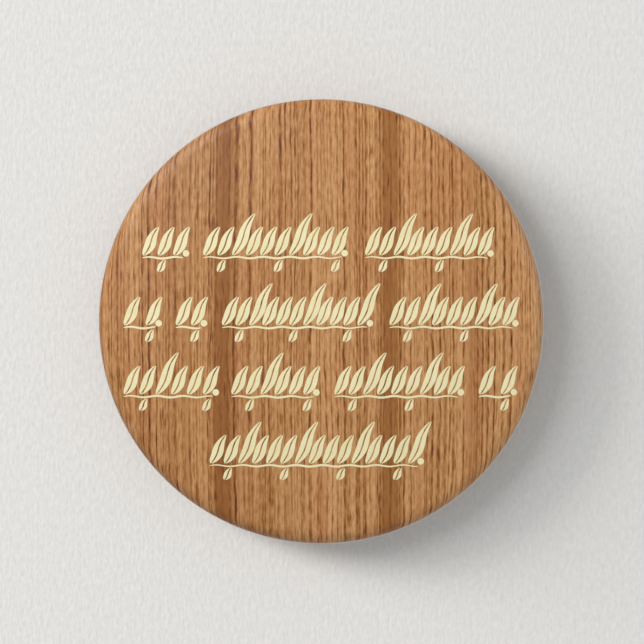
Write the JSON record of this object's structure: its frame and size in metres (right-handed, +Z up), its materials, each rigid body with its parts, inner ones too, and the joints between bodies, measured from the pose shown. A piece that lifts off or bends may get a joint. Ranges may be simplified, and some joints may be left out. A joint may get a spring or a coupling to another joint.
{
  "type": "button badge",
  "caption": "Round pin-back button badge: printed wood-grain disc under clear film on a domed steel shell, with a steel back plate and a bent-wire safety pin.",
  "frame": {"origin": "centre of the rim's rear plane, which lies against the cloth", "axes": "+Z up as the badge is worn, +Y out of the back towards the wearer, the printed face looks along -Y"},
  "size_m": [0.0572, 0.0088, 0.0572],
  "materials": {
    "film": "gloss",
    "paper_print": "satin",
    "shell_tinplate": "satin",
    "plate_tinplate": "satin",
    "spring_wire": "polished"
  },
  "bodies": {
    "badge": {"clear_film": "film", "printed_disc": "paper_print", "front_shell": "shell_tinplate", "back_plate": "plate_tinplate", "base_wire": "spring_wire", "spring_bend": "spring_wire"},
    "pin": {"pin_arm": "spring_wire"}
  },
  "joints": [
    {"name": "pin_open", "type": "hinge", "parent": "badge", "child": "pin", "pos_m": [0.0148, 0.00047, 0.00724], "axis": [0, 0.7071, -0.7071], "range_deg": [0, 45], "stiffness_Nm_per_rad": 0.3, "deforming": ["spring_bend"]}
  ]
}
